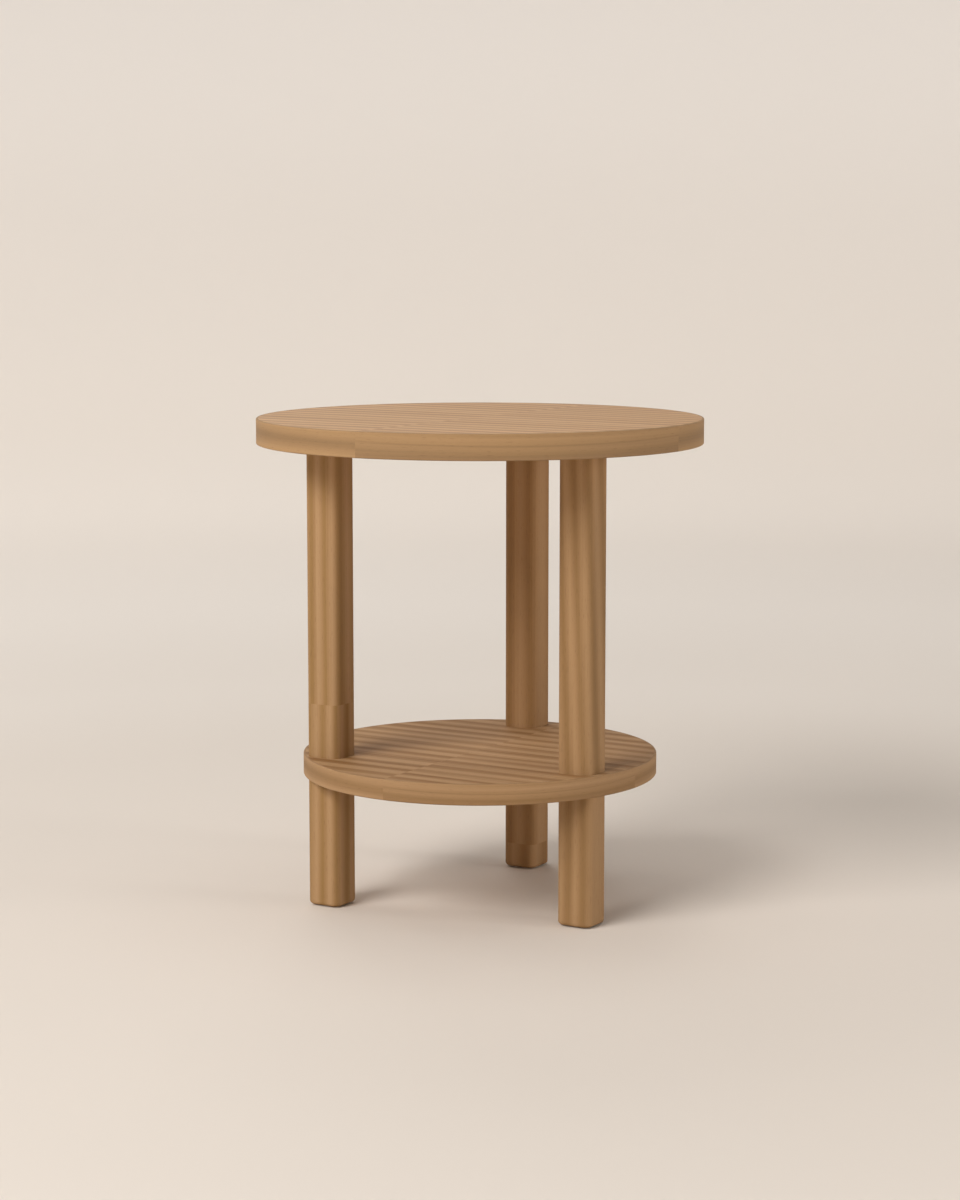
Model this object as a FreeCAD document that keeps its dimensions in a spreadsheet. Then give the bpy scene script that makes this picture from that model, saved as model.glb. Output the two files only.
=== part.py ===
"""Round side table: a veneered round top and a smaller round shelf on three square, soft-edged legs.

Each leg is made in two lengths. The shelf is clamped between them by a stud that screws into an insert nut in
either leg, and the upper leg hangs on a hanger bolt that screws into an insert nut under the top.
Units are millimetres. Z is up, the floor is z = 0, the table's axis is the Z axis, and X runs along the grain.
"""

import FreeCAD, Part
import os

import Sketcher

Vector = FreeCAD.Vector

doc = FreeCAD.newDocument("round_side_table")

# Driving dimensions
DIMENSIONS = (
    ("top_diameter", 450, "across the top, over its edge band"),
    ("top_thickness", 25.4, "top, with both veneers"),
    ("shelf_setback", 45, "shelf rim inside the top's rim"),
    ("shelf_thickness", 21, "shelf, with both veneers"),
    ("veneer_thickness", 0.6, "each veneer on either board"),
    ("edge_band_thickness", 2, "strip bent round each rim"),
    ("edge_rounding", 1, "softened edges of the band"),
    ("leg_width", 38, "across the flats of a leg"),
    ("leg_corner_radius", 9, "long edges of a leg"),
    ("foot_rounding", 4, "lower end of a leg"),
    ("upper_leg_length", 315, "shelf to top"),
    ("lower_leg_length", 131.5, "foot to shelf"),
    ("leg_inset", 27, "leg centre inside the shelf's rim"),
    ("leg_start_angle", 102.3, "back leg, in degrees from the grain"),
    ("thread_diameter", 8, "bolts and studs"),
    ("thread_clearance", 0.1, "round a bolt in its nut or pilot hole"),
    ("thread_lead_in", 1, "chamfer on a thread's end"),
    ("insert_wall", 2, "insert nut, thread to outside"),
    ("insert_length", 15, "insert nut, with its flange"),
    ("insert_clearance", 0.1, "round an insert nut in its socket"),
    ("flange_rim", 2.5, "insert nut's flange beyond its barrel"),
    ("flange_thickness", 1.5, "insert nut's flange"),
    ("socket_end_gap", 1, "hole beyond the end of a nut or bolt"),
    ("stud_grip", 13, "stud inside each insert nut"),
    ("shelf_hole_clearance", 0.5, "round a stud in the shelf"),
    ("hanger_wood_length", 45, "hanger bolt in the leg"),
    ("hanger_thread_length", 13, "hanger bolt in the top's insert nut"),
    ("hanger_point_length", 6, "cone at the wood end"),
    ("pad_margin", 2, "flat wood left round a felt pad"),
    ("pad_thickness", 3, "felt pad"),
    ("pad_recess", 2, "felt pad sunk into the foot"),
    ("pad_clearance", 0.1, "round a felt pad in its recess"),
)
sheet = doc.addObject("Spreadsheet::Sheet", "dims")
for row, (alias, value, note) in enumerate(DIMENSIONS, start=1):
    sheet.set(f"A{row}", note)
    sheet.set(f"B{row}", str(value))
    sheet.setAlias(f"B{row}", alias)
doc.recompute()

# Sizes that follow from the driving dimensions, as expressions
SHELF_DIAMETER = "(dims.top_diameter - 2 * dims.shelf_setback)"
LEG_CIRCLE_RADIUS = f"({SHELF_DIAMETER} / 2 - dims.leg_inset)"
THREAD_RADIUS = "(dims.thread_diameter / 2)"
THREAD_END_RADIUS = f"({THREAD_RADIUS} - dims.thread_lead_in)"
THREAD_HOLE = "(dims.thread_diameter + 2 * dims.thread_clearance)"
SHELF_HOLE = "(dims.thread_diameter + 2 * dims.shelf_hole_clearance)"
INSERT_DIAMETER = "(dims.thread_diameter + 2 * dims.insert_wall)"
FLANGE_DIAMETER = f"({INSERT_DIAMETER} + 2 * dims.flange_rim)"
SOCKET_BORE = f"({INSERT_DIAMETER} + 2 * dims.insert_clearance)"
SOCKET_MOUTH = f"({FLANGE_DIAMETER} + 2 * dims.insert_clearance)"
SOCKET_DEPTH = "(dims.insert_length + dims.socket_end_gap)"
PAD_DIAMETER = "(dims.leg_width - 2 * dims.foot_rounding - 2 * dims.pad_margin)"

# Heights above the floor, from the feet up
FOOT_HEIGHT = "(dims.pad_thickness - dims.pad_recess)"
SHELF_UNDERSIDE = f"({FOOT_HEIGHT} + dims.lower_leg_length)"
SHELF_TOP = f"({SHELF_UNDERSIDE} + dims.shelf_thickness)"
TOP_UNDERSIDE = f"({SHELF_TOP} + dims.upper_leg_length)"

# Legs by name, each with its turn round the table, in degrees after the back leg
LEG_NAMES = ("back", "front_left", "front_right")
LEGS = tuple((name, n * 360 / len(LEG_NAMES)) for n, name in enumerate(LEG_NAMES))

# Each edge band is cut into equal lengths, which butt at the ends of the grain and midway between them
BAND_LENGTHS = 4
BAND_ARC = 360 / BAND_LENGTHS

# How a sketch numbers its origin, its axes and the points of its lines and circles
ORIGIN = (-1, 1)
X_AXIS, Y_AXIS = (-1, -2)
START, END, CENTRE = (1, 2, 3)
TOLERANCE = 1e-6


def sheet_value(expression):
    """What an expression comes to with the sheet as it stands."""
    return float(sheet.evalExpression(expression))


def leg_angle(turn):
    """Direction of a leg from the table's axis."""
    return f"((dims.leg_start_angle + {turn}) * 1deg)"


def place(item, height, turn=None):
    """Stands an object at a height, on the table's axis or, given a turn, on that leg's centre line."""
    item.setExpression(".Placement.Base.z", height)
    if turn is not None:
        item.setExpression(".Placement.Base.x", f"{LEG_CIRCLE_RADIUS} * cos({leg_angle(turn)})")
        item.setExpression(".Placement.Base.y", f"{LEG_CIRCLE_RADIUS} * sin({leg_angle(turn)})")


def new_body(name):
    body = doc.addObject("PartDesign::Body", name)
    body.Label = name
    return body


def group(name, bodies):
    """Separate solids of one kind, kept together under one name."""
    together = doc.addObject("Part::Compound", name)
    together.Label = name
    together.Links = bodies
    return together


def new_sketch(body, name, role="XY_Plane", height=None, angle=None):
    """A sketch on one of the body's own origin planes, lifted or turned where asked."""
    sketch = body.newObject("Sketcher::SketchObject", name)
    plane = next(item for item in body.Origin.OriginFeatures if item.Role == role)
    sketch.AttachmentSupport = [(plane, "")]
    sketch.MapMode = "FlatFace"
    if height:
        sketch.setExpression(".AttachmentOffset.Base.z", height)
    if angle:
        sketch.AttachmentOffset = FreeCAD.Placement(Vector(), FreeCAD.Rotation(Vector(0, 0, 1), 1))
        sketch.setExpression(".AttachmentOffset.Rotation.Angle", angle)
    return sketch


def constrain(sketch, kind, *where, size=None, name=None):
    """Adds a constraint and, where a size is given, drives it by that expression under a name."""
    start = (1.0,) if size else ()
    index = sketch.addConstraint(Sketcher.Constraint(kind, *where, *start))
    if size:
        sketch.renameConstraint(index, name)
        sketch.setExpression(f"Constraints.{name}", size)


def add_circle(sketch, diameter, reach=None):
    """A circle on the origin or, given a reach, that far along the sketch's X axis."""
    start = Vector(sheet_value(reach) if reach else 0, 0, 0)
    circle = sketch.addGeometry(Part.Circle(start, Vector(0, 0, 1), sheet_value(diameter) / 2), False)
    if reach:
        constrain(sketch, "PointOnObject", circle, CENTRE, X_AXIS)
        constrain(sketch, "DistanceX", *ORIGIN, circle, CENTRE, size=reach, name="reach")
    else:
        constrain(sketch, "Coincident", circle, CENTRE, *ORIGIN)
    constrain(sketch, "Diameter", circle, size=diameter, name="diameter")


def pad(body, sketch, length):
    feature = body.newObject("PartDesign::Pad", "Pad")
    feature.Profile = sketch
    feature.setExpression("Length", length)
    return feature


def pocket(body, sketch, depth, upwards):
    """Cuts a sketch's outline into the body, up from its lower end or down from its upper end."""
    feature = body.newObject("PartDesign::Pocket", "Pocket")
    feature.Profile = sketch
    feature.setExpression("Length", depth)
    feature.Reversed = upwards
    return feature


def revolve(body, points, arc=360):
    """Turns a closed outline of (radius, height) expressions about the body's axis."""
    sketch = new_sketch(body, "Profile", role="XZ_Plane")
    corners = [Vector(sheet_value(across), sheet_value(up), 0) for across, up in points]
    for corner, following in zip(corners, corners[1:] + corners[:1]):
        sketch.addGeometry(Part.LineSegment(corner, following), False)
    for n, (across, up) in enumerate(points):
        constrain(sketch, "Coincident", n, END, (n + 1) % len(points), START)
        for kind, axis, size in (("DistanceX", Y_AXIS, across), ("DistanceY", X_AXIS, up)):
            if size == "0":
                constrain(sketch, "PointOnObject", n, START, axis)
            else:
                constrain(sketch, kind, *ORIGIN, n, START, size=size, name=f"{kind}{n}")
    feature = body.newObject("PartDesign::Revolution", "Revolution")
    feature.Profile = sketch
    feature.ReferenceAxis = (sketch, ["V_Axis"])
    feature.Angle = arc
    return feature


def fillet(body, base, names, radius):
    feature = body.newObject("PartDesign::Fillet", "Fillet")
    feature.Base = (base, names)
    feature.setExpression("Radius", radius)
    return feature


def repeat_at_legs(body, features):
    """Repeats one leg's holes at every leg."""
    pattern = body.newObject("PartDesign::PolarPattern", "AtEachLeg")
    pattern.Originals = features
    pattern.Axis = (features[0].Profile[0], ["N_Axis"])
    pattern.Angle = 360
    pattern.Occurrences = len(LEGS)
    body.Tip = pattern


def edge_names(shape, wanted):
    return [f"Edge{number}" for number, edge in enumerate(shape.Edges, start=1) if wanted(edge)]


def lowest_face_name(shape):
    faces = enumerate(shape.Faces, start=1)
    number, _ = min(faces, key=lambda entry: entry[1].CenterOfMass.z)
    return f"Face{number}"


# Boards: a core faced with veneer on both sides, and a strip round its rim

def disc(name, diameter, thickness, height):
    body = new_body(name)
    sketch = new_sketch(body, "Outline")
    add_circle(sketch, diameter)
    pad(body, sketch, thickness)
    place(body, height)
    return body


def leg_hole(body, name, diameter, depth):
    """A hole up into a board from below, on the back leg's centre line."""
    sketch = new_sketch(body, name, angle=leg_angle(0))
    add_circle(sketch, diameter, reach=LEG_CIRCLE_RADIUS)
    return pocket(body, sketch, depth, upwards=True)


def inside_band(board_diameter):
    return f"({board_diameter} - 2 * dims.edge_band_thickness)"


def between_veneers(board_thickness):
    return f"({board_thickness} - 2 * dims.veneer_thickness)"


def edge_band(name, diameter, thickness, height):
    """The strip round a board's rim, as deep as the board, with its two outer edges softened."""
    inner = f"{inside_band(diameter)} / 2"
    outer = f"{diameter} / 2"
    section = [(inner, "0"), (outer, "0"), (outer, thickness), (inner, thickness)]
    rim_radius = sheet_value(outer)
    lengths = []
    for n in range(BAND_LENGTHS):
        body = new_body(f"{name}_{n + 1}")
        strip = revolve(body, section, BAND_ARC)
        doc.recompute()
        rims = edge_names(strip.Shape, lambda edge: getattr(edge.Curve, "Radius", 0) > rim_radius - TOLERANCE)
        fillet(body, strip, rims, "dims.edge_rounding")
        body.Placement = FreeCAD.Placement(Vector(), FreeCAD.Rotation(Vector(0, 0, 1), n * BAND_ARC))
        place(body, height)
        lengths.append(body)
    return group(name, lengths)


def make_top():
    """The top: three blind sockets under it take the insert nuts that the legs hang on."""
    diameter = inside_band("dims.top_diameter")
    thickness = between_veneers("dims.top_thickness")
    core = disc("top_core", diameter, thickness, f"{TOP_UNDERSIDE} + dims.veneer_thickness")
    repeat_at_legs(core, [
        leg_hole(core, "SocketMouth", SOCKET_MOUTH, "dims.flange_thickness - dims.veneer_thickness"),
        leg_hole(core, "SocketBore", SOCKET_BORE, f"{SOCKET_DEPTH} - dims.veneer_thickness"),
    ])
    face_height = f"{TOP_UNDERSIDE} + dims.top_thickness - dims.veneer_thickness"
    face = disc("top_face_veneer", diameter, "dims.veneer_thickness", face_height)
    backing = disc("top_backing_veneer", diameter, "dims.veneer_thickness", TOP_UNDERSIDE)
    repeat_at_legs(backing, [leg_hole(backing, "SocketMouth", SOCKET_MOUTH, "dims.veneer_thickness")])
    band = edge_band("top_edge_band", "dims.top_diameter", "dims.top_thickness", TOP_UNDERSIDE)
    return [core, face, backing, band]


def make_shelf():
    """The shelf: three clear holes let the studs through from leg to leg."""
    diameter = inside_band(SHELF_DIAMETER)
    thickness = between_veneers("dims.shelf_thickness")
    layers = (
        ("shelf_backing_veneer", "dims.veneer_thickness", SHELF_UNDERSIDE),
        ("shelf_core", thickness, f"{SHELF_UNDERSIDE} + dims.veneer_thickness"),
        ("shelf_face_veneer", "dims.veneer_thickness", f"{SHELF_TOP} - dims.veneer_thickness"),
    )
    pieces = []
    for name, depth, height in layers:
        layer = disc(name, diameter, depth, height)
        repeat_at_legs(layer, [leg_hole(layer, "StudHole", SHELF_HOLE, depth)])
        pieces.append(layer)
    pieces.append(edge_band("shelf_edge_band", SHELF_DIAMETER, "dims.shelf_thickness", SHELF_UNDERSIDE))
    return pieces


# Legs: square timber with rounded long edges

def leg_section(body):
    """A square centred on the body's axis."""
    sketch = new_sketch(body, "Section")
    half = sheet_value("dims.leg_width") / 2
    corners = [Vector(x * half, y * half, 0) for x, y in ((-1, -1), (1, -1), (1, 1), (-1, 1))]
    for corner, following in zip(corners, corners[1:] + corners[:1]):
        sketch.addGeometry(Part.LineSegment(corner, following), False)
    for side, direction in enumerate(("Horizontal", "Vertical") * 2):
        constrain(sketch, "Coincident", side, END, (side + 1) % len(corners), START)
        constrain(sketch, direction, side)
    constrain(sketch, "Equal", 0, 1)
    constrain(sketch, "Symmetric", 0, START, 2, START, *ORIGIN)
    constrain(sketch, "DistanceX", 0, START, 0, END, size="dims.leg_width", name="width")
    return sketch


def leg_blank(name, length):
    """A length of leg that stands on its body's origin, before its ends are worked."""
    body = new_body(name)
    square = pad(body, leg_section(body), length)
    doc.recompute()
    long_edges = edge_names(square.Shape, lambda edge: edge.BoundBox.ZLength > TOLERANCE)
    rounded = fillet(body, square, long_edges, "dims.leg_corner_radius")
    doc.recompute()
    return body, rounded


def end_hole(body, name, diameter, depth, upper_end=None):
    """A hole along a leg's axis, up from its lower end or down from the upper end's height."""
    sketch = new_sketch(body, name, height=upper_end)
    add_circle(sketch, diameter)
    pocket(body, sketch, depth, upwards=upper_end is None)


def insert_socket(body, upper_end=None):
    """The stepped hole for an insert nut: a shallow mouth for its flange and a bore for its barrel."""
    end_hole(body, "SocketMouth", SOCKET_MOUTH, "dims.flange_thickness", upper_end)
    end_hole(body, "SocketBore", SOCKET_BORE, SOCKET_DEPTH, upper_end)


def make_upper_leg(name, turn):
    """From shelf to top: an insert nut's socket below, a hanger bolt's pilot hole above."""
    body, _ = leg_blank(f"upper_leg_{name}", "dims.upper_leg_length")
    insert_socket(body)
    pilot_depth = "dims.hanger_wood_length + dims.socket_end_gap"
    end_hole(body, "PilotHole", THREAD_HOLE, pilot_depth, upper_end="dims.upper_leg_length")
    place(body, SHELF_TOP, turn)
    return body


def make_lower_leg(name, turn):
    """From foot to shelf: a rounded foot with a recess for its felt pad, an insert nut's socket above."""
    body, rounded = leg_blank(f"lower_leg_{name}", "dims.lower_leg_length")
    fillet(body, rounded, [lowest_face_name(rounded.Shape)], "dims.foot_rounding")
    end_hole(body, "PadRecess", f"{PAD_DIAMETER} + 2 * dims.pad_clearance", "dims.pad_recess")
    insert_socket(body, upper_end="dims.lower_leg_length")
    place(body, FOOT_HEIGHT, turn)
    return body


# Fixings: one of each kind at every leg

def at_each_leg(name, make, height):
    solids = []
    for leg, turn in LEGS:
        body = new_body(f"{name}_{leg}")
        make(body)
        place(body, height, turn)
        solids.append(body)
    return group(name, solids)


def insert_nut(body, end):
    """A threaded sleeve with a flange at the body's origin, reaching up or down to its end."""
    bore = f"{THREAD_HOLE} / 2"
    barrel = f"{INSERT_DIAMETER} / 2"
    rim = f"{FLANGE_DIAMETER} / 2"
    flange = f"{end} * dims.flange_thickness / dims.insert_length"
    revolve(body, [(bore, "0"), (rim, "0"), (rim, flange), (barrel, flange), (barrel, end), (bore, end)])


def insert_nut_up(body):
    insert_nut(body, "dims.insert_length")


def insert_nut_down(body):
    insert_nut(body, "(-1 * dims.insert_length)")


def hanger_bolt(body):
    """A bolt with a wood point below the joint and a plain thread above it."""
    point = "-1 * dims.hanger_wood_length"
    head = "dims.hanger_thread_length"
    revolve(body, [
        ("0", point),
        (THREAD_RADIUS, f"{point} + dims.hanger_point_length"),
        (THREAD_RADIUS, f"{head} - dims.thread_lead_in"),
        (THREAD_END_RADIUS, head),
        ("0", head),
    ])


def shelf_stud(body):
    """A threaded rod through the shelf, with the same grip in either leg."""
    bottom = "-1 * dims.stud_grip"
    top = "dims.shelf_thickness + dims.stud_grip"
    revolve(body, [
        ("0", bottom),
        (THREAD_END_RADIUS, bottom),
        (THREAD_RADIUS, f"{bottom} + dims.thread_lead_in"),
        (THREAD_RADIUS, f"{top} - dims.thread_lead_in"),
        (THREAD_END_RADIUS, top),
        ("0", top),
    ])


def felt_pad(body):
    """A felt disc, let into the foot so that only its lower part stands proud."""
    sketch = new_sketch(body, "Outline")
    add_circle(sketch, PAD_DIAMETER)
    pad(body, sketch, "dims.pad_thickness")


def make_fixings():
    return [
        at_each_leg("top_insert_nuts", insert_nut_up, TOP_UNDERSIDE),
        at_each_leg("hanger_bolts", hanger_bolt, TOP_UNDERSIDE),
        at_each_leg("upper_leg_insert_nuts", insert_nut_up, SHELF_TOP),
        at_each_leg("shelf_studs", shelf_stud, SHELF_UNDERSIDE),
        at_each_leg("lower_leg_insert_nuts", insert_nut_down, SHELF_UNDERSIDE),
        at_each_leg("felt_pads", felt_pad, "0"),
    ]


# Assembly
nodes = make_top() + make_shelf()
for leg, turn in LEGS:
    nodes += [make_upper_leg(leg, turn), make_lower_leg(leg, turn)]
nodes += make_fixings()
doc.recompute()

for item in doc.Objects:
    if {"Invalid", "Error"} & set(item.State):
        raise RuntimeError(f"{item.Label} failed: {item.State}")
    if item.TypeId == "PartDesign::Pocket" and item.Shape.Volume >= item.BaseFeature.Shape.Volume:
        raise RuntimeError(f"{item.Label} cuts nothing")
for node in nodes:
    if node.Shape.isNull() or not node.Shape.isValid():
        raise RuntimeError(f"{node.Label} has no valid shape")

os.makedirs("parts", exist_ok=True)
for node in nodes:
    node.Shape.exportStep(f"parts/{node.Label}.step")
    print(f"{node.Label}: {len(node.Shape.Solids)} solids, {node.Shape.Volume / 1000:.2f} cm3")
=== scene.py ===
"""Finishes the round side table in lacquered ash, and sets it on a pale floor under soft studio light."""

import math

import bpy
from mathutils import Matrix, Vector, noise


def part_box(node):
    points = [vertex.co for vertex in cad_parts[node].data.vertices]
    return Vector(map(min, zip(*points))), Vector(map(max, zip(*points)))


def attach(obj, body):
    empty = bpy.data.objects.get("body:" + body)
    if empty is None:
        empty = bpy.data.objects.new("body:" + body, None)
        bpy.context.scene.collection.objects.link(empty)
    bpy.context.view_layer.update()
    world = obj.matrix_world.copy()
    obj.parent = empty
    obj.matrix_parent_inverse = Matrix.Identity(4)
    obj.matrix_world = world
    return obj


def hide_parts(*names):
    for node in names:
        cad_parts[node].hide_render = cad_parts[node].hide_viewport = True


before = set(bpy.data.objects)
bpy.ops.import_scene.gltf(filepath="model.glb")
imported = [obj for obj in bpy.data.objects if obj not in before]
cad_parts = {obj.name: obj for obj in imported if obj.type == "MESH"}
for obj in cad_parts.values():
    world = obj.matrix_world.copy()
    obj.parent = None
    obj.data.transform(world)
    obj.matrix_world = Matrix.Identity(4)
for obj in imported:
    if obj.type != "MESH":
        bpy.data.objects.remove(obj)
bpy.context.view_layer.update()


# Board cores: two discs of medium-density fibreboard, cut round on a trammel and bored for the leg fixings.
# Veneer and edging cover them all over, so the raw board shows only inside the holes.

MM_PER_M = 1000


def linear(hex_colour):
    """An sRGB hex colour as linear red, green, blue and alpha."""
    channels = [int(hex_colour[at:at + 2], 16) / 255 for at in (1, 3, 5)]
    return *[c / 12.92 if c <= 0.04045 else ((c + 0.055) / 1.055) ** 2.4 for c in channels], 1.0


def add(material, kind, inputs=None, out=0, stops=None, **settings):
    """Adds a node to a material, sets and links its inputs, and returns one of its outputs.

    Sockets go by name, or by number among those in use. Stops are a ramp's places, each with its grey.
    """
    node = material.node_tree.nodes.new("ShaderNode" + kind)
    for name, value in settings.items():
        setattr(node, name, value)
    if stops:
        ramp = node.color_ramp
        ramp.interpolation = "EASE"
        ramp.elements.remove(ramp.elements[1])
        ramp.elements[0].position = stops[0][0]
        for position, _ in stops[1:]:
            ramp.elements.new(position)
        for element, (_, grey) in zip(ramp.elements, stops):
            element.color = (grey, grey, grey, 1)
    in_use = [socket for socket in node.inputs if socket.enabled]
    for name, value in (inputs or {}).items():
        socket = in_use[name] if isinstance(name, int) else next(s for s in in_use if s.name == name)
        if isinstance(value, bpy.types.NodeSocket):
            material.node_tree.links.new(value, socket)
        else:
            socket.default_value = value
    given = [socket for socket in node.outputs if socket.enabled]
    if not given:
        return node
    return given[out] if isinstance(out, int) else next(s for s in given if s.name == out)


def new_material(name):
    """An empty material, and the place on the table in millimetres for its patterns to follow."""
    material = bpy.data.materials.new(name)
    material.use_nodes = True
    material.node_tree.nodes.clear()
    metres = add(material, "TexCoord", out="Object")
    return material, add(material, "VectorMath", {0: metres, "Scale": MM_PER_M}, operation="SCALE")


def finish_with(material, *nodes):
    """Puts one material on these CAD nodes."""
    for node in nodes:
        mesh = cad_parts[node].data
        mesh.materials.clear()
        mesh.materials.append(material)


# Raw fibreboard is pressed wood fibre: an even tan, felted with short pale and dark fibres, and quite
# matt. The fibres' length is in millimetres.
FIBRE_LENGTH = 2.5
DARK_TAN = linear("#8F6C48")
PALE_TAN = linear("#C19A6E")
fibreboard, place = new_material("raw_fibreboard")
fibres = add(fibreboard, "TexNoise", {"Vector": place, "Scale": 1 / FIBRE_LENGTH, "Detail": 5})
tan = add(fibreboard, "Mix", {"Factor": fibres, "A": DARK_TAN, "B": PALE_TAN}, data_type="RGBA")
roughness = add(fibreboard, "MapRange", {"Value": fibres, "To Min": 0.8, "To Max": 0.95})
nap = add(fibreboard, "Bump", {"Height": fibres, "Strength": 0.4, "Distance": 0.0003})
pressed = add(fibreboard, "BsdfPrincipled", {"Base Color": tan, "Roughness": roughness, "Normal": nap})
add(fibreboard, "OutputMaterial", {"Surface": pressed})
finish_with(fibreboard, "top_core", "shelf_core")


# Face and backing veneers: sliced ash 0.6 mm thick, pressed on both faces of each core to keep it flat.
# Each face is two leaves end to end, met on a line through the middle, with the grain running along X.

# Ash under matt lacquer shows straight pale and brown bands, fine streaks and short dark pores, with a
# soft broad sheen. These are the sizes of its figure in millimetres, along the grain and twice across it.
# The pores are 0.2 mm wide on real ash, and are drawn at 0.6 mm so that they show.
RING_DRIFT = (420, 80, 80)
TONE_STREAK = (500, 16, 16)
FIBRE_STREAK = (320, 2.2, 2.2)
PORE = (9, 0.6, 0.6)

# Streaks take the usual span of a noise, and pores only its peaks. Then come the fibre's share of the
# tone, how dark the pores are, and how far the roughness varies either way.
STREAK_SPAN = {"From Min": 0.3, "From Max": 0.7}
PORE_SPAN = {"From Min": 0.62, "From Max": 0.78}
FIBRE_SHARE = 0.25
PORE_SHADE = 0.3
MATT_SPREAD = 0.06


def lacquered_ash(name, grain_of, pale, deep, ring, wander, feather, uneven, matt):
    """Ash in these two tones, under lacquer of this roughness.

    grain_of gives the place in the grain, in millimetres, and the count of rings there. ring is the run of
    tones through one ring. Slow drift shifts that run within wander, and fibre within feather, both in
    rings. uneven is the share of the tone that broad streaks take.
    """
    material, place = new_material(name)
    grain, rings = grain_of(material, place)

    # Fibre: fine streaks a few millimetres apart and as long as a forearm.
    fine = add(material, "VectorMath", {0: grain, 1: FIBRE_STREAK}, operation="DIVIDE")
    bundles = add(material, "TexNoise", {"Vector": fine, "Scale": 1, "Detail": 4, "Roughness": 0.6})
    streak = add(material, "MapRange", {"Value": bundles, **STREAK_SPAN})

    # Growth rings: bands that wander slowly along the grain, with edges that the fibre feathers.
    slow = add(material, "VectorMath", {0: grain, 1: RING_DRIFT}, operation="DIVIDE")
    drift = add(material, "TexNoise", {"Vector": slow, "Scale": 1, "Detail": 2})
    swing = add(material, "MapRange", {"Value": drift, "To Min": -wander / 2, "To Max": wander / 2})
    ragged = add(material, "MapRange", {"Value": streak, "To Min": -feather / 2, "To Max": feather / 2})
    shifted = add(material, "Math", {0: swing, 1: ragged}, operation="ADD")
    counted = add(material, "Math", {0: rings, 1: shifted}, operation="ADD")
    through = add(material, "Math", {0: counted}, operation="FRACT")
    band = add(material, "ValToRGB", {"Fac": through}, stops=ring)

    # Tone: broad streaks, so that no two rings are alike, and the fibre over them.
    broad = add(material, "VectorMath", {0: grain, 1: TONE_STREAK}, operation="DIVIDE")
    clouds = add(material, "TexNoise", {"Vector": broad, "Scale": 1, "Detail": 2})
    cloudy = add(material, "MapRange", {"Value": clouds, **STREAK_SPAN})
    figure = add(material, "Mix", {"Factor": uneven, "A": band, "B": cloudy}, data_type="FLOAT")
    tone = add(material, "Mix", {"Factor": FIBRE_SHARE, "A": figure, "B": streak}, data_type="FLOAT")
    wood = add(material, "Mix", {"Factor": tone, "A": linear(deep), "B": linear(pale)}, data_type="RGBA")

    # Pores: open vessels in the spring wood, darker than the wood round them.
    short = add(material, "VectorMath", {0: grain, 1: PORE}, operation="DIVIDE")
    vessels = add(material, "TexNoise", {"Vector": short, "Scale": 1, "Detail": 1})
    open_pores = add(material, "MapRange", {"Value": vessels, **PORE_SPAN})
    shown = add(material, "Math", {0: open_pores, 1: PORE_SHADE}, operation="MULTIPLY")
    shaded = {"Factor": shown, "A": wood, "B": linear(deep)}
    pored = add(material, "Mix", shaded, data_type="RGBA", blend_type="MULTIPLY")

    # Lacquer: a matt film that follows the fibre a little and dips into the pores.
    spread = {"To Min": matt - MATT_SPREAD, "To Max": matt + MATT_SPREAD}
    roughness = add(material, "MapRange", {"Value": streak, **spread})
    height = add(material, "Math", {0: streak, 1: open_pores}, operation="SUBTRACT")
    film = add(material, "Bump", {"Height": height, "Strength": 0.12, "Distance": 0.0003})
    finish = {"Base Color": pored, "Roughness": roughness, "Normal": film, "IOR": 1.45}
    surface = add(material, "BsdfPrincipled", finish)
    add(material, "OutputMaterial", {"Surface": surface})
    return material


# A ring's run of tones: places through it from 0 to 1, each with its tone from 0, deep, to 1, pale.
SOFT_RING = [(0.0, 0.0), (0.5, 1.0), (1.0, 0.0)]

# Millimetres from ring to ring, the share by which the two leaves differ from that, one each way, and how
# far apart along the log they were cut, in millimetres.
RING_PITCH = 25.1
LEAF_SPREAD = 0.03
LEAF_APART = (900, 0, 0)


def veneer_grain(bright):
    """Grain along X in two leaves that meet at X 0, with a bright band this many millimetres over in Y."""
    start = 0.5 - bright / RING_PITCH
    leaf_pitch = {"To Min": (1 - LEAF_SPREAD) / RING_PITCH, "To Max": (1 + LEAF_SPREAD) / RING_PITCH}

    def grain_of(material, place):
        across = add(material, "SeparateXYZ", {0: place}, out="Y")
        along = add(material, "SeparateXYZ", {0: place}, out="X")
        leaf = add(material, "Math", {0: along, 1: 0}, operation="GREATER_THAN")
        per_mm = add(material, "MapRange", {"Value": leaf, **leaf_pitch})
        rings = add(material, "Math", {0: across, 1: per_mm, 2: start}, operation="MULTIPLY_ADD")
        apart = add(material, "VectorMath", {0: LEAF_APART, "Scale": leaf}, operation="SCALE")
        grain = add(material, "VectorMath", {0: place, 1: apart}, operation="ADD")
        return grain, rings

    return grain_of


# Each board's veneer: where a bright band lies, in millimetres, its two tones, and its roughness. The top's
# tones are lighter than the shelf's: painted light, standing for the light from above on the top's face.
VENEERS = {
    "top": (16.5, "#D6AB7B", "#95683B", 0.62),
    "shelf": (12.4, "#BD986D", "#805623", 0.76),
}
for board, (bright, pale, deep, matt) in VENEERS.items():
    sliced_ash = lacquered_ash(
        "matt_lacquered_ash_veneer_" + board, veneer_grain(bright), pale, deep, SOFT_RING,
        wander=0.8, feather=0.45, uneven=0.3, matt=matt,
    )
    finish_with(sliced_ash, board + "_face_veneer", board + "_backing_veneer")


# Edge bands: solid ash strips 2 mm thick, bent round each board in quarter lengths and butted at the ends.
# The grain runs round the rim. Strips of two kinds take turns: one has a soft dark band that bows up
# between its ends, the other a ring line that bows down.

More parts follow.
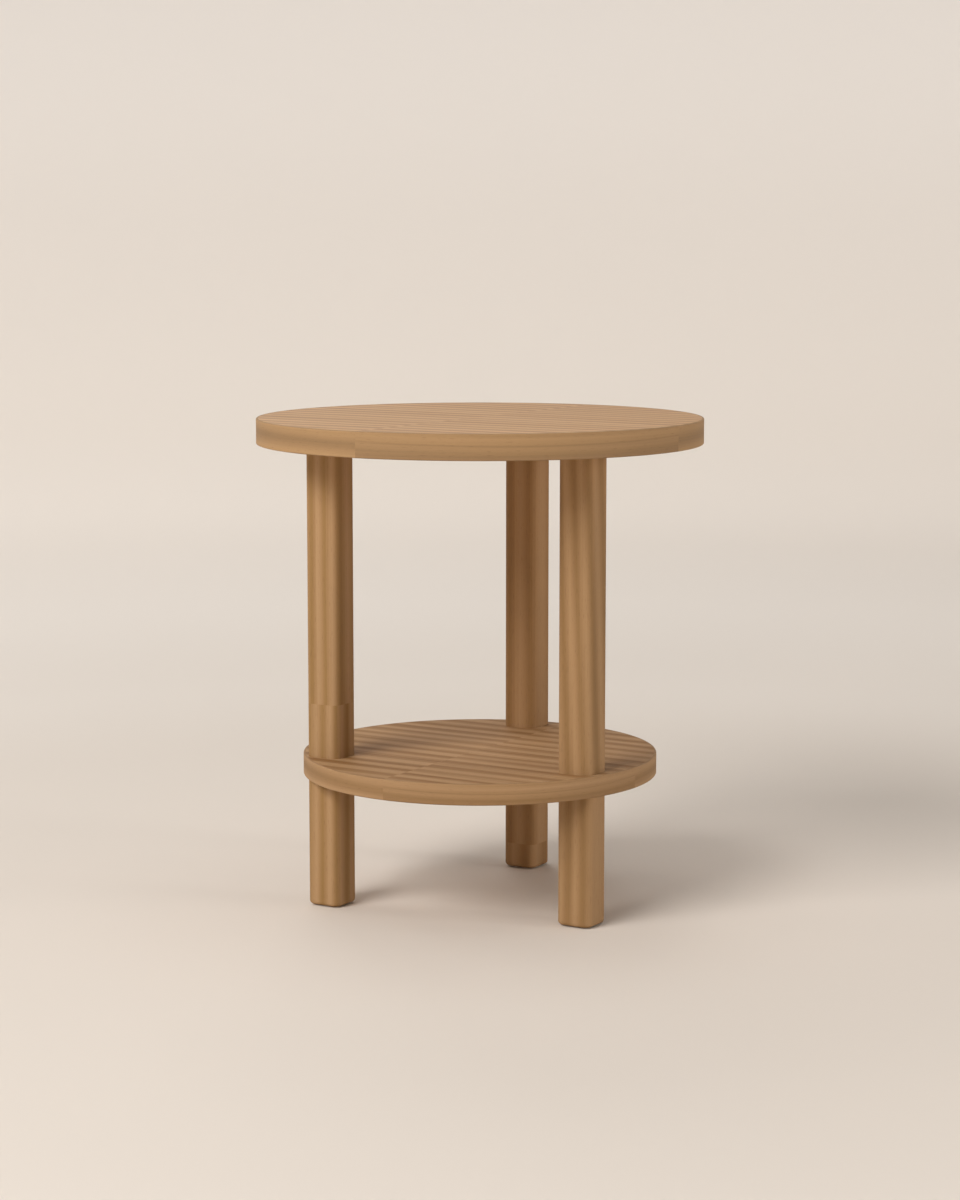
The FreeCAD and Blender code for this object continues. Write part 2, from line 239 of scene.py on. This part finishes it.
# Each kind of strip has half of one run of tones, from its upper edge to its lower one. The margin above
# it, the strip's own width and the bow are parts of that run. Neighbouring strips were cut this far apart
# in the plank, in millimetres.
BANDED_STRIP = [(0.12, 0.92), (0.275, 0.18), (0.44, 0.95)]
LINED_STRIP = [
    (0.54, 0.6), (0.61, 0.97), (0.68, 0.68), (0.70, 0.35), (0.72, 0.62), (0.75, 0.58), (0.82, 0.2),
]
KIND_SHARE = 0.5
STRIP_MARGIN = 0.07
STRIP_SHARE = 0.36
STRIP_BOW = 0.04
STRIP_APART = 600


def rim_grain(band_node):
    """Grain round the rim of a board, in quarter lengths, with the ring profile laid over its thickness."""
    low, high = [corner * MM_PER_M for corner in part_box(band_node)]

    def grain_of(material, place):
        x = add(material, "SeparateXYZ", {0: place}, out="X")
        y = add(material, "SeparateXYZ", {0: place}, out="Y")
        z = add(material, "SeparateXYZ", {0: place}, out="Z")
        angle = add(material, "Math", {0: y, 1: x}, operation="ARCTAN2")
        quarters = add(material, "Math", {0: angle, 1: math.pi / 2}, operation="DIVIDE")
        strip = add(material, "Math", {0: quarters}, operation="FLOOR")
        along = add(material, "Math", {0: angle, 1: high.x}, operation="MULTIPLY")
        apart = add(material, "Math", {0: strip, 1: STRIP_APART}, operation="MULTIPLY")
        grain = add(material, "CombineXYZ", {"X": along, "Y": z, "Z": apart})
        depth = add(material, "MapRange", {"Value": z, "From Min": high.z, "From Max": low.z})
        edge = add(material, "Math", {0: strip, 1: KIND_SHARE, 2: STRIP_MARGIN}, operation="MULTIPLY_ADD")
        level = add(material, "Math", {0: depth, 1: STRIP_SHARE, 2: edge}, operation="MULTIPLY_ADD")
        twice = add(material, "Math", {0: angle, 1: 2}, operation="MULTIPLY")
        bow = add(material, "Math", {0: twice}, operation="SINE")
        rings = add(material, "Math", {0: bow, 1: STRIP_BOW, 2: level}, operation="MULTIPLY_ADD")
        return grain, rings

    return grain_of


# Each board's edging: its pale and its deep tone.
EDGING_TONES = {
    "top": ("#AA865C", "#7D603F"),
    "shelf": ("#A5825C", "#7D5C34"),
}
for board, (pale, deep) in EDGING_TONES.items():
    band_node = board + "_edge_band"
    bent_ash = lacquered_ash(
        "matt_lacquered_ash_edging_" + board, rim_grain(band_node), pale, deep, BANDED_STRIP + LINED_STRIP,
        wander=0.04, feather=0.01, uneven=0.1, matt=0.76,
    )
    finish_with(bent_ash, band_node)


# Legs: solid ash 38 mm square, planed, with the long edges rounded and the grain upright. Each is an upper
# and a lower leg, with the shelf clamped between them. The timber was finger-jointed from two lengths
# before it was planed, so the figure jumps at one height.

# The two lengths were cut this far apart in the timber, in millimetres.
LENGTH_APART = 700


def middle(node):
    """The centre of a CAD node's box, in metres."""
    low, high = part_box(node)
    return (low + high) / 2


def rings_per_mm(wide_x, wide_y, lean):
    """Rings crossed per millimetre along X, Y and Z."""
    return 1 / wide_x, 1 / wide_y, lean / MM_PER_M


def leg_grain(leg, joint, upper, lower):
    """Upright grain in two lengths that meet at the joint, each with its figure from LEG_FIGURES."""
    centre = middle("upper_leg_" + leg) * MM_PER_M
    on_axis_above, *widths_above = upper
    on_axis_below, *widths_below = lower
    slants = {"A": rings_per_mm(*widths_above), "B": rings_per_mm(*widths_below)}
    counts = {"To Min": on_axis_above, "To Max": on_axis_below}

    def grain_of(material, place):
        beside = add(material, "VectorMath", {0: place, 1: (centre.x, centre.y, 0)}, operation="SUBTRACT")
        x = add(material, "SeparateXYZ", {0: beside}, out="X")
        y = add(material, "SeparateXYZ", {0: beside}, out="Y")
        z = add(material, "SeparateXYZ", {0: beside}, out="Z")
        below = add(material, "Math", {0: z, 1: joint}, operation="LESS_THAN")
        across = add(material, "Mix", {"Factor": below, **slants}, data_type="VECTOR")
        crossed = add(material, "VectorMath", {0: beside, 1: across}, operation="DOT_PRODUCT", out="Value")
        on_axis = add(material, "MapRange", {"Value": below, **counts})
        rings = add(material, "Math", {0: crossed, 1: on_axis}, operation="ADD")
        along = add(material, "Math", {0: below, 1: LENGTH_APART, 2: z}, operation="MULTIPLY_ADD")
        grain = add(material, "CombineXYZ", {"X": along, "Y": x, "Z": y})
        return grain, rings

    return grain_of


# Each leg: its joint's height in millimetres, and the figures of the lengths above and below it. A figure is
# the ring count on the leg's axis at the floor, the ring width across X and across Y in millimetres, and the
# rings crossed per metre of height where the grain leans.
LEG_FIGURES = {
    "back": (27, (0.83, 24.9, 46, 0), (1.05, 24.9, 46, 0)),
    "front_left": (208, (0.27, 16.1, 28, 0), (0.96, 17.5, 17.8, 0)),
    "front_right": (143, (0.67, 16.7, 24, 2.5), (0.39, 16.7, 169, 0)),
}
LEG_TONES = {
    "back": ("#A37E56", "#805B2F"),
    "front_left": ("#A98660", "#866332"),
    "front_right": ("#A38059", "#815F35"),
}
for leg, figures in LEG_FIGURES.items():
    planed_ash = lacquered_ash(
        "matt_lacquered_ash_leg_" + leg, leg_grain(leg, *figures), *LEG_TONES[leg], SOFT_RING,
        wander=0.5, feather=0.06, uneven=0.15, matt=0.78,
    )
    finish_with(planed_ash, "upper_leg_" + leg, "lower_leg_" + leg)


# Fixings: flanged insert nuts, hanger bolts and studs of M8 turned steel, zinc plated.
# They sit wholly inside the boards and legs, and pull each leg up tight against its board.

# Zinc plate over turned steel is a pale silver grey, faintly clouded, with a blurred shine. The clouds'
# size is in millimetres.
SPANGLE = 1.5
DULL_SILVER = linear("#B9BAB4")
PALE_SILVER = linear("#D2D3CF")
zinc_plate, place = new_material("zinc_plated_steel")
spangle = add(zinc_plate, "TexNoise", {"Vector": place, "Scale": 1 / SPANGLE, "Detail": 3})
silver = add(zinc_plate, "Mix", {"Factor": spangle, "A": DULL_SILVER, "B": PALE_SILVER}, data_type="RGBA")
roughness = add(zinc_plate, "MapRange", {"Value": spangle, "To Min": 0.28, "To Max": 0.45})
turned_marks = add(zinc_plate, "Bump", {"Height": spangle, "Strength": 0.1, "Distance": 0.0001})
plated = {"Base Color": silver, "Metallic": 1, "Roughness": roughness, "Normal": turned_marks}
steel = add(zinc_plate, "BsdfPrincipled", plated)
add(zinc_plate, "OutputMaterial", {"Surface": steel})
finish_with(zinc_plate, "top_insert_nuts", "upper_leg_insert_nuts", "lower_leg_insert_nuts")
finish_with(zinc_plate, "hanger_bolts", "shelf_studs")


# Felt pads: discs of pressed brown wool felt, die cut, and glued into a shallow recess under each foot.
# They stand 1 mm proud, with a worn lower edge, so the table slides without marking the floor.

# Pressed wool is a mat of short curled hairs, so it is soft brown, mottled and without shine. The curls'
# size is in millimetres.
HAIR_CURL = 1.2
DARK_WOOL = linear("#3A2B20")
PALE_WOOL = linear("#6B5340")
felt, place = new_material("pressed_wool_felt")
wool = add(felt, "TexNoise", {"Vector": place, "Scale": 1 / HAIR_CURL, "Detail": 6, "Distortion": 1.5})
brown = add(felt, "Mix", {"Factor": wool, "A": DARK_WOOL, "B": PALE_WOOL}, data_type="RGBA")
roughness = add(felt, "MapRange", {"Value": wool, "To Min": 0.9, "To Max": 1.0})
fuzz = add(felt, "Bump", {"Height": wool, "Strength": 0.6, "Distance": 0.0005})
matted = {"Base Color": brown, "Roughness": roughness, "Normal": fuzz, "Sheen Weight": 0.3}
hairs = add(felt, "BsdfPrincipled", matted)
add(felt, "OutputMaterial", {"Surface": hairs})

# The worn edge's radius, and the depth and size of the unevenness in the cut, in metres. The flat faces
# have rings of points at these shares of the radius, outwards on the upper one and inwards on the lower.
PAD_EDGE = 0.0008
FUZZ_DEPTH = 0.00012
FUZZ_SIZE = 0.0015
UPPER_RINGS = (0.5, 0.9, 1.0)
LOWER_RINGS = (0.8, 0.5)
EDGE_STEPS = 6
PAD_SIDES = 72


def turned(outline, sides, centre):
    """Points and faces of a surface turned about an upright axis, closed at the outline's start."""
    points = [Vector((centre.x, centre.y, outline[0][1]))]
    for reach, height in outline:
        for side in range(sides):
            angle = 2 * math.pi * side / sides
            out = Vector((math.cos(angle), math.sin(angle), 0))
            points.append(Vector((centre.x, centre.y, height)) + out * reach)
    faces = []
    for side in range(sides):
        after = (side + 1) % sides
        faces.append((0, 1 + side, 1 + after))
        for ring in range(len(outline) - 1):
            near, far = 1 + ring * sides, 1 + (ring + 1) * sides
            faces.append((near + side, far + side, far + after, near + after))
    return points, faces


def felt_disc(centre, radius, thickness):
    """Points and faces of one pad: flat on both faces, rounded at the lower edge, with an uneven side."""
    outline = [(radius * share, thickness) for share in UPPER_RINGS]
    for step in range(EDGE_STEPS + 1):
        bend = math.pi / 2 * step / EDGE_STEPS
        outline.append((radius - PAD_EDGE * (1 - math.cos(bend)), PAD_EDGE * (1 - math.sin(bend))))
    outline += [(radius * share, 0.0) for share in LOWER_RINGS]
    points, faces = turned(outline, PAD_SIDES, centre)
    for point in points[1:]:
        out = Vector((point.x - centre.x, point.y - centre.y, 0)).normalized()
        point -= out * FUZZ_DEPTH * (1 + noise.noise(point / FUZZ_SIZE))
    points.append(Vector((centre.x, centre.y, 0)))
    last = len(points) - 1
    last_ring = last - PAD_SIDES
    for side in range(PAD_SIDES):
        after = (side + 1) % PAD_SIDES
        faces.append((last_ring + after, last_ring + side, last))
    return points, faces


pads_low, pads_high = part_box("felt_pads")
pad_radius = middle("lower_leg_front_left").x - pads_low.x
pad_points = []
pad_faces = []
for leg in LEG_FIGURES:
    points, faces = felt_disc(middle("lower_leg_" + leg), pad_radius, pads_high.z)
    pad_faces += [[len(pad_points) + corner for corner in face] for face in faces]
    pad_points += points
pads_mesh = bpy.data.meshes.new("felt_discs")
pads_mesh.from_pydata(pad_points, [], pad_faces)
pads_mesh.shade_smooth()
pads_mesh.materials.append(felt)
pads = bpy.data.objects.new("felt_discs", pads_mesh)
bpy.context.scene.collection.objects.link(pads)
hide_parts("felt_pads")
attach(pads, "root")


# Studio: a round sweep of matt painted board, flat under the table and rising on all sides into a wall.
# A long softbox stands to the front left and a narrow one to the right, broad ones hang behind and overhead,
# and the room itself gives a little even light.

# Radii of the first ring of points, the flat floor and the bend, and the wall's height, in metres.
INNER_RADIUS = 0.5
FLAT_RADIUS = 3.2
COVE_RADIUS = 1.5
WALL_TOP = 2.0
COVE_STEPS = 16
SWEEP_SIDES = 128

sweep_outline = [(INNER_RADIUS, 0.0), (FLAT_RADIUS, 0.0)]
for step in range(1, COVE_STEPS + 1):
    bend = math.pi / 2 * step / COVE_STEPS
    sweep_outline.append((FLAT_RADIUS + COVE_RADIUS * math.sin(bend), COVE_RADIUS * (1 - math.cos(bend))))
sweep_outline.append((FLAT_RADIUS + COVE_RADIUS, WALL_TOP))
sweep_points, sweep_faces = turned(sweep_outline, SWEEP_SIDES, Vector((0, 0, 0)))
sweep_mesh = bpy.data.meshes.new("studio_sweep")
sweep_mesh.from_pydata(sweep_points, [], sweep_faces)
sweep_mesh.shade_smooth()
sweep = bpy.data.objects.new("studio_sweep", sweep_mesh)
bpy.context.scene.collection.objects.link(sweep)

# Matt emulsion gives a warm white, with the faint stipple that a roller leaves. Painted light makes it
# lighter round the bend, which hides the bend's shade, and again up the wall, where a painted cool tint
# comes in too.
# Lengths are in millimetres. The list below gives parts of the reach out from the table and up the wall,
# each with its share of painted light.
STIPPLE = 4
PAINTED_LIGHT_REACH = 7000
PAINTED_LIGHT_STOPS = [
    (0.12, 0.0), (0.20, 0.42), (0.33, 0.86), (0.50, 0.86), (0.60, 0.62), (0.73, 0.47), (0.83, 0.88),
]
PAINTED_COOLING_FROM = 200
WARM_WHITE = linear("#DFD4C8")
PAINTED_LIT_WHITE = linear("#EDE4DA")
PAINTED_COOL_WHITE = linear("#E6E2DE")
emulsion, place = new_material("rolled_matt_emulsion_and_painted_light")
stipple = add(emulsion, "TexNoise", {"Vector": place, "Scale": 1 / STIPPLE, "Detail": 3})
up_wall = add(emulsion, "SeparateXYZ", {0: place}, out="Z")
level = add(emulsion, "VectorMath", {0: place, 1: (1, 1, 0)}, operation="MULTIPLY")
out_from_table = add(emulsion, "VectorMath", {0: level}, operation="LENGTH", out="Value")
along_sweep = add(emulsion, "Math", {0: out_from_table, 1: up_wall}, operation="ADD")
reached = add(emulsion, "MapRange", {"Value": along_sweep, "From Max": PAINTED_LIGHT_REACH})
# Painted light: the white is made lighter along the sweep, by the list above.
painted_lightening = add(emulsion, "ValToRGB", {"Fac": reached}, stops=PAINTED_LIGHT_STOPS)
warm = add(emulsion, "Mix", {"Factor": painted_lightening, "A": WARM_WHITE, "B": PAINTED_LIT_WHITE}, data_type="RGBA")
# Painted light: a cool tint that comes in up the wall.
cooling = {"From Min": PAINTED_COOLING_FROM, "From Max": WALL_TOP * MM_PER_M}
painted_cooling = add(emulsion, "MapRange", {"Value": up_wall, **cooling})
white = add(emulsion, "Mix", {"Factor": painted_cooling, "A": warm, "B": PAINTED_COOL_WHITE}, data_type="RGBA")
roughness = add(emulsion, "MapRange", {"Value": stipple, "To Min": 0.85, "To Max": 0.95})
dimple = add(emulsion, "Bump", {"Height": stipple, "Strength": 0.05, "Distance": 0.0005})
paint = add(emulsion, "BsdfPrincipled", {"Base Color": white, "Roughness": roughness, "Normal": dimple})
add(emulsion, "OutputMaterial", {"Surface": paint})
sweep_mesh.materials.append(emulsion)

# The camera stands 2.88 m from the table's axis, a little above the top, looking down 7.7 degrees.
VIEW_TURN = 31.5
VIEW_DISTANCE = 2.8798
VIEW_HEIGHT = 0.6966
VIEW_DIP = 7.685
SENSOR_WIDTH = 36
FOCAL_LENGTH = 85.875
turn = math.radians(VIEW_TURN)
camera_data = bpy.data.cameras.new("camera")
camera_data.sensor_width = SENSOR_WIDTH
camera_data.lens = FOCAL_LENGTH
camera = bpy.data.objects.new("camera", camera_data)
camera.location = (VIEW_DISTANCE * math.sin(turn), -VIEW_DISTANCE * math.cos(turn), VIEW_HEIGHT)
camera.rotation_euler = (math.radians(90 - VIEW_DIP), 0, turn)
bpy.context.scene.collection.objects.link(camera)
bpy.context.scene.camera = camera

# Each softbox: degrees round from the camera's right, degrees up, metres away, width and height in metres,
# degrees of roll, and watts.
SOFTBOXES = {
    "key_front_left": (227, 37, 6.0, 3.6, 1.9, -32, 280),
    "back_light": (100, 42, 6.0, 2.5, 2.5, 0, 46),
    "back_left": (145, 42, 6.0, 2.5, 2.5, 0, 24),
    "overhead": (0, 85, 8.0, 5.0, 5.0, 0, 90),
    "fill_right": (341, 11, 4.0, 0.6, 1.4, 0, 41),
}
for name, (round_from_right, up, away, width, height, roll, watts) in SOFTBOXES.items():
    softbox_data = bpy.data.lights.new(name, "AREA")
    softbox_data.shape = "RECTANGLE"
    softbox_data.size = width
    softbox_data.size_y = height
    softbox_data.energy = watts
    softbox = bpy.data.objects.new(name, softbox_data)
    facing = (
        Matrix.Rotation(math.radians(VIEW_TURN + round_from_right + 90), 4, "Z")
        @ Matrix.Rotation(math.radians(90 - up), 4, "X")
        @ Matrix.Rotation(math.radians(roll), 4, "Z")
    )
    softbox.visible_camera = False
    softbox.matrix_world = facing @ Matrix.Translation((0, 0, away))
    bpy.context.scene.collection.objects.link(softbox)

ROOM_LIGHT = 0.17
room = bpy.data.worlds.new("dim_room")
room.use_nodes = True
background = room.node_tree.nodes["Background"]
background.inputs["Color"].default_value = linear("#FFFFFF")
background.inputs["Strength"].default_value = ROOM_LIGHT
bpy.context.scene.world = room
bpy.context.scene.view_settings.view_transform = "Standard"
